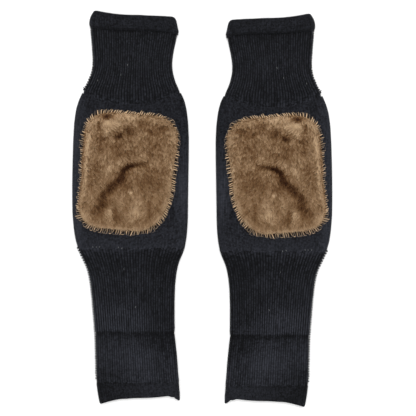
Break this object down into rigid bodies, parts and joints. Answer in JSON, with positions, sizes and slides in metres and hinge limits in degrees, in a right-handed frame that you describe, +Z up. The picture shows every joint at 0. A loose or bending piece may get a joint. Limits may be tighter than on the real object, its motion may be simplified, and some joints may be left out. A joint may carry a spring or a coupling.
{
  "type": "pair of knee warmers",
  "caption": "Pair of flat-laid knitted tubes for the knees, ribbed at both ends, with a rounded plush patch on the front of each knee.",
  "frame": {"origin": "on the ground under the middle of the pair", "axes": "+Y runs up the warmers towards the thigh, +Z is up from the ground through the patches, +X is to the right as the pair is seen from above"},
  "size_m": [0.2646, 0.4027, 0.0114],
  "materials": {
    "knit": "matt charcoal plain knit",
    "rib_knit": "matt charcoal 1x1 rib knit",
    "plush": "soft tan-brown plush pile with a silky sheen",
    "thread": "tan overlock thread"
  },
  "bodies": {
    "root": {"left_top_band": "knit", "left_upper_cuff": "rib_knit", "left_knee": "knit", "left_lower_cuff": "rib_knit", "left_bottom_band": "knit", "left_plush_patch": "plush", "right_top_band": "knit", "right_upper_cuff": "rib_knit", "right_knee": "knit", "right_lower_cuff": "rib_knit", "right_bottom_band": "knit", "right_plush_patch": "plush"}
  },
  "joints": []
}
